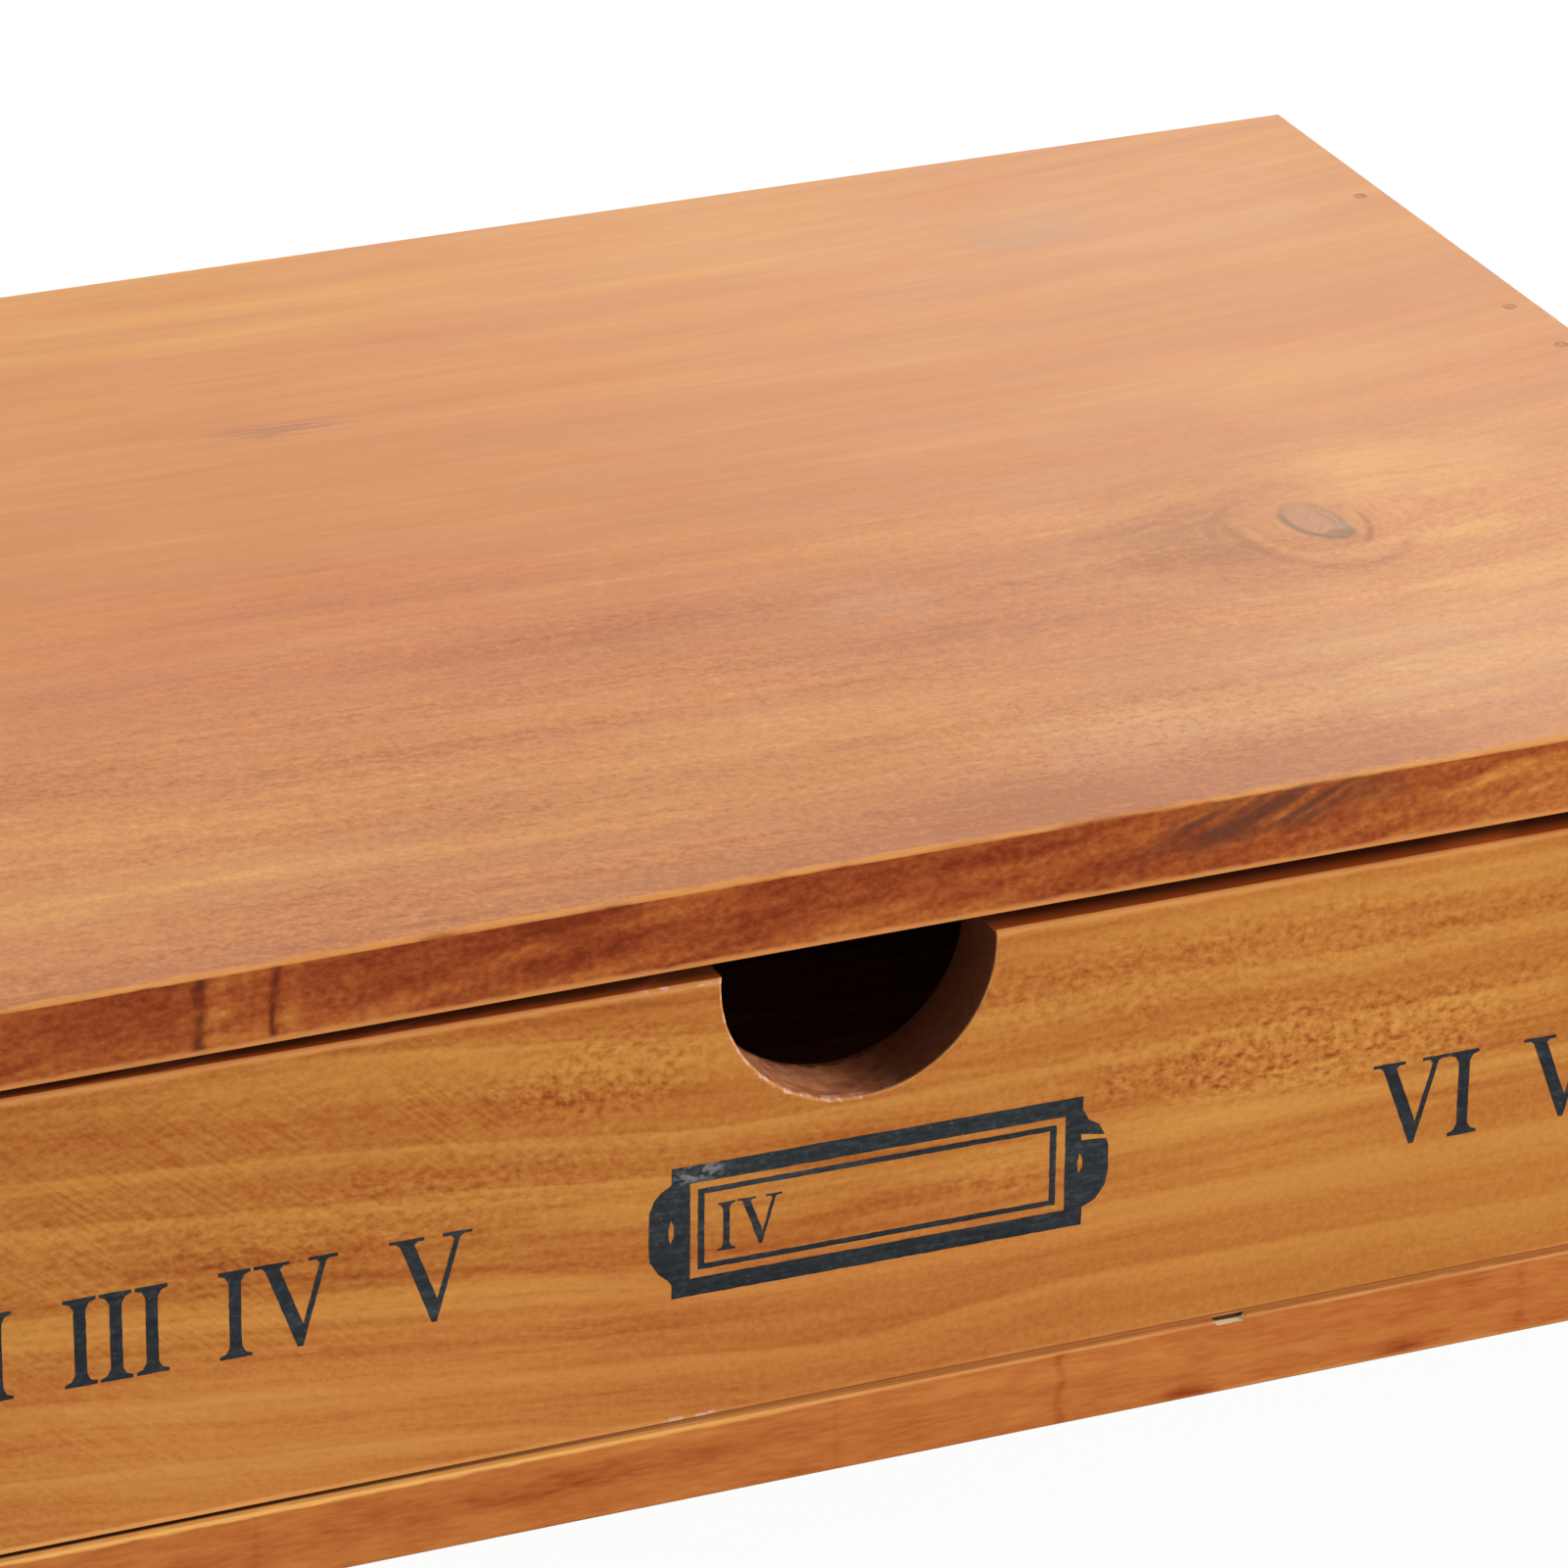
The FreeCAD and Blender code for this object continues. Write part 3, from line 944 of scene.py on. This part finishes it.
for y in (front_low.y, front_high.y):
    runs = [[end.copy() for end in ends(front, edge)]
            for edge in front.data.edges if straight_run(edge, y)]
    for a, b in runs:
        at_back = y == front_high.y
        if at_back and (max(a.z, b.z) < middle_height or abs(a.x - b.x) < spare):
            continue

        def on_run(edge):
            return all((end - a).cross(b - a).length < off_run * (b - a).length
                       and -1e-5 < (end - a).dot(b - a) < (b - a).length_squared + 1e-5
                       for end in ends(front, edge))
        divide(front, on_run, (b - a).length)


def outer_edge(edge):
    return on_face(edge, front_low.y)


def inner_edge(edge):
    a, b = ends(front, edge)
    short = (a - b).length < 2 * edge_pitch
    return on_face(edge, front_high.y) and short and min(a.z, b.z) > lowest_rim


rounded = round_off(front, outer_edge, front_arris, arris_steps)
round_off(front, inner_edge, inner_arris, inner_arris_steps)
wear(front, rounded, front_wear)
front_foot = Vector((0, front_low.y, (bottom_heights[-1] + bottom_heights[1]) / 2))
sharpen(front, front_foot, just_past * front_arris, front_low.z + 2 * front_arris - front_foot.z)
border_flats(front, least_area=0.002)
for y in (front_low.y + front_arris + flat_border, front_high.y - inner_arris - flat_border):
    pick(front, "polygons", lambda face: on_notch(face.center))
    bpy.ops.mesh.bisect(plane_co=(0, y, 0), plane_no=(0, 1, 0))
    back_to_objects()
smooth(front)
settle(front, "drawer_front_board", "drawer")
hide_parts("drawer_front")

front_stain = [
    (0.15, 0.29, 0.065, 0.013), (0.35, 0.44, 0.133, 0.024), (0.5, 0.53, 0.195, 0.038),
    (0.65, 0.605, 0.254, 0.052), (0.88, 0.69, 0.32, 0.07)]
notch_stain = [(0.3, 0.3, 0.095, 0.042), (0.5, 0.54, 0.2, 0.092), (0.7, 0.74, 0.345, 0.185)]


def front_finish():
    """Thin golden lines that fall to the right and then level out, specks, scratches, torn rim."""
    wood = Grain("stained_front", "XZY", 52)
    x, y, z = wood.x, wood.y, wood.z
    fall = wood.node("Math", {"operation": "SMOOTH_MIN"}, {0: x + 12, 1: 0, 2: 30})
    wood.run(z + fall * 0.12 + wood.uneven(4, 60, 14), y * 0.6)

    # Bands and lines, with slanting scratches and curls.
    calm = wood.strongest(x, z, (0.65, 75, 18, 110, 24), (0.5, 5, 19, 40, 14))
    calm = calm.most(z.rise(38, 50) * 0.45)
    lively = wood.spot(x + 45, z - 38, 70, 13, 0.5, 6)
    tone = wood.figure(0.34, 0.5, 0.26, 0.3, 0)
    tone += wood.uneven(lively * 0.35, 90, 3)
    line = wood.rings(8.6, -160, 40, 6, 2)
    tone = 0.5 + (tone - 0.5) * (1 - calm) + (line - 0.25) * 0.16
    hatch = wood.drawn(x, z, -42, 9, 0.5, 1)
    hatch_place = wood.strongest(x, z, (1, -95, 38, 60, 40), (1, -60, 56, 45, 16))
    tone += (hatch - 0.5) * hatch_place * wood.noise(11, 11).rise(0.3, 0.6) * 0.42
    curl = wood.drawn(x, z, 14, 2.6, 0.8)
    tone += (curl - 0.5) * (x + 20).rise(10, -30) * z.rise(24, 40) * 0.3

    # Specks, and lighter and darker places.
    speck_place = wood.strongest(
        x, z, (1, 60, 45, 46, 10, 0.9, 4), (0.6, 50, 58, 70, 9, 0.9, 4),
        (0.8, -32, 58, 22, 8, 0.9), (0.5, 18, 35, 9, 5, 0.9), (0.45, -60, 46, 70, 9, 0.9))
    tone += wood.uneven(0.34, 0.9, 0.8, 2, 0.6)
    tone += wood.uneven(speck_place * 1.1, 1.3, 1.1, 2, 0.6)
    specks = wood.noise(1.3, 0.9, 2, 0.6)
    tone -= specks.rise(0.52, 0.7) * speck_place * 0.2
    tone += specks.rise(0.46, 0.34) * speck_place * 0.12
    tone -= (z - 30).rise(5, 36) * (x + 60).rise(20, -60) * 0.08
    tone += z.rise(32, 22) * 0.06
    tone += sum(wood.spots(x, z, (0.12, 48, 34, 46, 12), (0.12, -75, 20, 80, 18)))

    # Rubbed arrises along the crooked outline, a band of painted shade under its top edge, and
    # painted highlights along its top arris and its foot.
    left_rise = (gap_top_middle - gap_top_left) / front_high.x
    right_fall = (gap_top_right - gap_top_middle) / front_high.x
    top_line = top_heights[0] / mm + (x * -1).most(0) * left_rise - x.most(0) * right_fall
    bottom_slope = (gap_bottom_right - gap_bottom_left) / (2 * front_high.x)
    bottom_line = front_foot.z / mm + x * bottom_slope
    face_depth = y - front_low.y / mm
    below_top = top_line - z + wood.uneven(0.9, 6, 1.2, 3, 0.6)
    # A band of painted shade just under the top edge, where the lid shades the face.
    tone -= below_top.rise(0.6, 1.2) * below_top.rise(3.4, 1.8) * 0.1
    wood.colour = wood.stain(tone, front_stain)
    wood.warm(z.rise(40, 24) * x.rise(80, 0) * -0.09)
    # A painted highlight along the top arris.
    top_arris_highlight = below_top.rise(1.05, 0.3) * face_depth.rise(0.3, 0.1)
    wood.paint(top_arris_highlight * 0.7, 0.73, 0.315, 0.095)
    rise_depth = (top_line - z).least(z - bottom_line)
    end_depth = front_high.x / mm - x.size()
    rub = wood.rubbed([rise_depth, end_depth, face_depth], 0.75, 0.4)
    wood.paint(rub * (face_depth - 4).rise(1, 0) * 0.6, 0.74, 0.31, 0.095)
    # A painted highlight along the foot's lower arris, at the left.
    foot = (z - bottom_line + wood.uneven(0.5, 5, 1, 3)).rise(0.85, 0.35)
    wood.paint(foot * x.rise(-10, -95) * 0.9, 0.86, 0.42, 0.13)

    # The wall of the notch, with painted shade on its right side and along its back, and its torn
    # rim.
    up = z - notch_height / mm
    hole_far = (x * x + up * up) ** 0.5
    right_wall = x.rise(-3, 7)
    wall = (hole_far - right_wall * 0.14).rise(17.36, 17.22)
    wall_tone = wood.noise(6, 0.9) * 0.6 + wood.noise(1.6, 1) * 0.4
    wall_colour = wood.stain(wall_tone, notch_stain)
    # Painted shade on the right side of the wall, under the lid.
    wall_colour = (right_wall * 0.9).tint(wall_colour, rgb(0.09, 0.03, 0.013))
    wood.colour = wall.tint(wood.colour, wall_colour)
    # Painted shade along the back of the wall.
    shaded_wall_back = (y + 95 + wood.uneven(3, 1.2, 1.2)).rise(-0.2, 0.2)
    wood.paint(wall * shaded_wall_back * 0.9, 0.12, 0.042, 0.018)
    off_wall = hole_far - notch_radius / mm
    rim = off_wall.most(0) + face_depth.most(0) + wood.uneven(0.3, 2, 1)
    wood.paint(rim.rise(0.5, 0.25) * (1 - wall * right_wall) * 0.55, *arris_rub)
    torn = (off_wall - 0.15 + wood.uneven(1.4, 1, 1)).line(0.35, 0.05)
    torn *= (face_depth - 0.9).rise(0.3, -0.3) * x.rise(7, -2)
    torn *= wood.noise(1.4, 1.4).rise(0.44, 0.54)
    chipped = rise_depth.rise(0.7, 0.3) * (x + 22).size().rise(7, 3)
    chipped *= wood.noise(1.5, 0.8).rise(0.45, 0.6)
    wood.paint(torn.most(chipped) * 0.75, 0.86, 0.54, 0.42)

    # Its top face: a red-brown stained edge, darkening with depth under the lid as painted shade.
    # Under its foot at the left, painted shade.
    # Painted shade on the top face, deeper the further under the lid, over a red-brown stained
    # front strip.
    reach = 1.4 + x.rise(-95, -40) * 0.9 + x.rise(-30, 20) * 1.3
    gap_shade = ((face_depth + wood.uneven(0.5, 7, 7)) / reach).rise(0.1, 1)
    gap_colour = gap_shade.tint(rgb(0.46, 0.095, 0.02), rgb(0.12, 0.034, 0.013))
    streaks = (wood.noise(30, 1.4) * 0.6 + wood.noise(2, 1) * 0.4 - 0.5) * 1.6
    gap_colour = streaks.tint(gap_colour, rgb(0.26, 0.08, 0.026))
    top_face = (z - top_line).rise(-0.3, -0.05) * face_depth.rise(0.25, 0.5)
    wood.colour = top_face.tint(wood.colour, gap_colour)
    # Painted shade on the underside of the foot, at the left.
    below = (face_depth - 0.2).rise(0, 0.3) * (bottom_line - z).rise(-0.3, -0.05)
    wood.paint(below * x.rise(25, -20) * 0.9, 0.08, 0.028, 0.012)
    return wood.close(0.08, 0.45, 0.28)


finish_with(front, front_finish())


# The drawer box
# Plain sides and back, rabbeted and bradded, and a thin plywood floor in a groove, lightly
# stained inside.
box_stain = [
    (0.2, 0.33, 0.11, 0.03), (0.38, 0.43, 0.165, 0.05), (0.52, 0.5, 0.215, 0.072),
    (0.66, 0.57, 0.27, 0.1), (0.85, 0.66, 0.35, 0.14)]
for node, axes, seed, gap in [
        ("drawer_left_side", "YZX", 60, 5.5), ("drawer_right_side", "YZX", 65, 5.5),
        ("drawer_back", "XZY", 72, 6.5), ("drawer_floor", "XYZ", 78, 12)]:
    plain_finish(node, axes, seed, box_stain, wander=(12, 140, 50),
                 figure=(0.55, 0.45, 0.4, 0.35, 0.25), rings=(gap, -70, 25, 9, 2),
                 weight=0.2, specks=0, rub=(0.8, 0.6), close=(0.15, 0.55, 0.3))


# The brads
# Steel pins, driven in below the surface and dulled by the stain that was wiped over their
# heads.
steel = Grain("dulled_steel", "XYZ", 84)
steel_tone = steel.figure(0, 0.2, 0.4, 0.4, 0.9)
steel_colour = steel.stain(steel_tone, [(0.3, 0.1, 0.055, 0.035), (0.7, 0.3, 0.22, 0.17)])
steel_shader = steel.node("BsdfPrincipled", None, {
    "Base Color": steel_colour, "Metallic": 0.7, "Roughness": 0.35 + steel_tone * 0.3})
close_finish(steel.start, steel_shader)
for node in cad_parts:
    if node.endswith("_brads"):
        finish_with(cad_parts[node], steel.material)


# The print on the drawer front
# One colour of slate ink, stamped a little askew: a picture of a card holder in the middle and
# a row of clock numerals on each side of it. The ink has no thickness to speak of, and it is
# worn at one corner of the card holder.
ink_tilt = math.radians(-0.55)
ink_middle = Vector((2.5 * mm, 0, 35 * mm))
ink_proud = 0.04 * mm
ink_depth = 0.1 * mm
ink_half = (ink_proud + ink_depth) / 2
ink_pitch = 0.9 * mm
ink_ragged = 0.035 * mm
same_point = 0.002 * mm
ragged = random.Random(12)


def ink_material():
    """Slate ink that sank into the grain, with pinholes and a scuffed corner."""
    wood = Grain("slate_ink", "XZY", 110)
    x, z = wood.x, wood.z
    tone = wood.figure(0.2, 0.5, 0.6, 0.4, 0.6)
    wood.colour = wood.stain(tone, [
        (0.3, 0.018, 0.022, 0.026), (0.55, 0.03, 0.036, 0.041), (0.8, 0.06, 0.066, 0.07)])
    scuff = wood.spot(x + 20.5, z - 43, 5, 1.9, 0.8, 1)
    scuff *= wood.noise(1.2, 0.8).rise(0.42, 0.6)
    wood.paint(scuff * 0.6, 0.34, 0.33, 0.32)
    wood.paint(wood.noise(0.9, 0.5, 2).rise(0.7, 0.78) * 0.6, 0.3, 0.13, 0.05)
    return wood.close(0.1, 0.5)


ink_finish = ink_material()


def roughened(loop):
    """An outline's points in metres, its long sides divided and a little uneven."""
    points = []
    for (x0, z0), (x1, z1) in zip(loop, loop[1:] + loop[:1]):
        length = math.hypot(x1 - x0, z1 - z0) * mm
        steps = max(1, round(length / ink_pitch))
        for step in range(steps):
            part = step / steps
            points.append([(a + (b - a) * part) * mm + ragged.uniform(-ink_ragged, ink_ragged)
                           for a, b in ((x0, x1), (z0, z1))])
    return points


def ink_print(name, loops):
    """A flat shape in ink on the drawer front, from outlines, an inner one being a hole."""
    outline = bpy.data.curves.new(name, "CURVE")
    outline.dimensions = "2D"
    outline.fill_mode = "BOTH"
    outline.extrude = ink_half
    for loop in loops:
        points = roughened(loop)
        spline = outline.splines.new("POLY")
        spline.points.add(len(points) - 1)
        for point, (x, z) in zip(spline.points, points):
            point.co = (x, z, 0, 1)
        spline.use_cyclic_u = True
    printed = bpy.data.objects.new(name, outline)
    scene.collection.objects.link(printed)
    take(printed)
    bpy.ops.object.convert(target="MESH")
    printed = bpy.context.object
    pick(printed, "vertices", lambda vertex: True)
    bpy.ops.mesh.remove_doubles(threshold=same_point)
    bpy.ops.mesh.normals_make_consistent(inside=False)
    back_to_objects()
    printed.rotation_euler = (math.pi / 2, 0, 0)
    settle_in_mesh(printed)
    printed.rotation_euler = (0, -ink_tilt, 0)
    turned = ink_middle.copy()
    turned.rotate(printed.rotation_euler)
    shift = ink_middle - turned
    printed.location = (shift.x, front_low.y - ink_proud + ink_half, shift.z)
    settle_in_mesh(printed)
    settle(printed, name, "drawer")
    finish_with(printed, ink_finish)


cap_height = 11.3
stem = 1.45
serif = 0.42
serif_half = 1.95
stem_spacing = 4.3
v_width = 10.2
v_spacing = 10.3
numeral_gap = 6.1


def letter_i(x, z, size):
    """An upright stroke with bracketed serifs, its left end at x."""
    half, wide, high = stem / 2, serif_half, cap_height
    right = [(wide, 0), (wide, serif), (half + 0.45, serif + 0.25), (half, serif + 1.1),
             (half, high - serif - 1.1), (half + 0.45, high - serif - 0.25),
             (wide, high - serif), (wide, high)]
    loop = right + [(-a, b) for a, b in reversed(right)]
    return [(x + (a + wide) * size, z + b * size) for a, b in loop]


def letter_v(x, z, size):
    """A thick and a thin slanting stroke with serifs, its left end at x."""
    high, under = cap_height, cap_height - serif
    loop = [(5.15, 0), (5.75, 0), (8.75, under - 0.3), (9.2, under), (v_width, under),
            (v_width, high), (6.6, high), (6.6, under), (7.6, under), (8, under - 0.5),
            (5.85, 2.9), (3.1, under - 0.4), (3.5, under), (4.3, under), (4.3, high),
            (0, high), (0, under), (0.9, under), (1.35, under - 0.4)]
    return [(x + a * size, z + b * size) for a, b in loop]


def numeral(text, x, z, size):
    """The outlines of a numeral, and where it ends."""
    loops = []
    for sign in text:
        if sign == "I":
            loops.append(letter_i(x, z, size))
            x += stem_spacing * size
        else:
            loops.append(letter_v(x, z, size))
            x += v_spacing * size
    return loops, x - (stem_spacing - 2 * serif_half) * size * (text[-1] == "I")


def print_row(row, x, base):
    """A row of numerals from x to the right."""
    for text in row:
        loops, x = numeral(text, x, base, 1)
        ink_print("numeral_" + text, loops)
        x += numeral_gap


left_row = ["I", "II", "III", "IV", "V"]
right_row = ["VI", "VII", "VIII"]
row_base = 29.4
left_row_end = -48.4
right_row_start = 67.2
left_row_width = sum(numeral(text, 0, 0, 1)[1] for text in left_row)
left_row_width += numeral_gap * (len(left_row) - 1)
print_row(left_row, left_row_end - left_row_width, row_base)
print_row(right_row, right_row_start, row_base)
ink_print("card_numeral", numeral("IV", -17.9, 31.9, 0.56)[0])

holder_outline = [
    (-23.7, 26.6), (28.9, 26.6), (28.9, 28.9), (30.6, 29.7), (31.8, 31.3), (32.3, 33.4),
    (32.2, 36.8), (31.9, 37.6), (28.7, 37.9), (28.6, 38.7), (31.7, 38.2), (30.9, 39.7),
    (29.6, 40.5), (28.8, 42), (28.8, 43.7), (-23.7, 43.7), (-23.7, 41.6), (-25, 40.9),
    (-25.9, 39.9), (-26.5, 38.3), (-26.6, 33.6), (-26.4, 31.9), (-25.4, 30.2), (-24.2, 29.2),
    (-23.7, 28.4)]
holder_window = [(-21.4, 28.9), (26.6, 28.9), (26.6, 41.4), (-21.4, 41.4)]
left_slot = [
    (-23.9, 33.8), (-23.5, 34.7), (-23.4, 36.1), (-23.8, 37), (-24.1, 36), (-24.1, 34.7)]
right_slot = [(28.4, 33.5), (28.9, 34.4), (28.9, 35.4), (28.5, 36.2), (28.2, 35.3), (28.2, 34.4)]
ink_print("card_holder", [holder_outline, holder_window, left_slot, right_slot])
line_outside = [(-20.4, 29.9), (25.4, 29.9), (25.4, 40.5), (-20.4, 40.5)]
line_inside = [(-19.6, 30.6), (24.6, 30.6), (24.6, 39.8), (-19.6, 39.8)]
ink_print("card_line", [line_outside, line_inside])
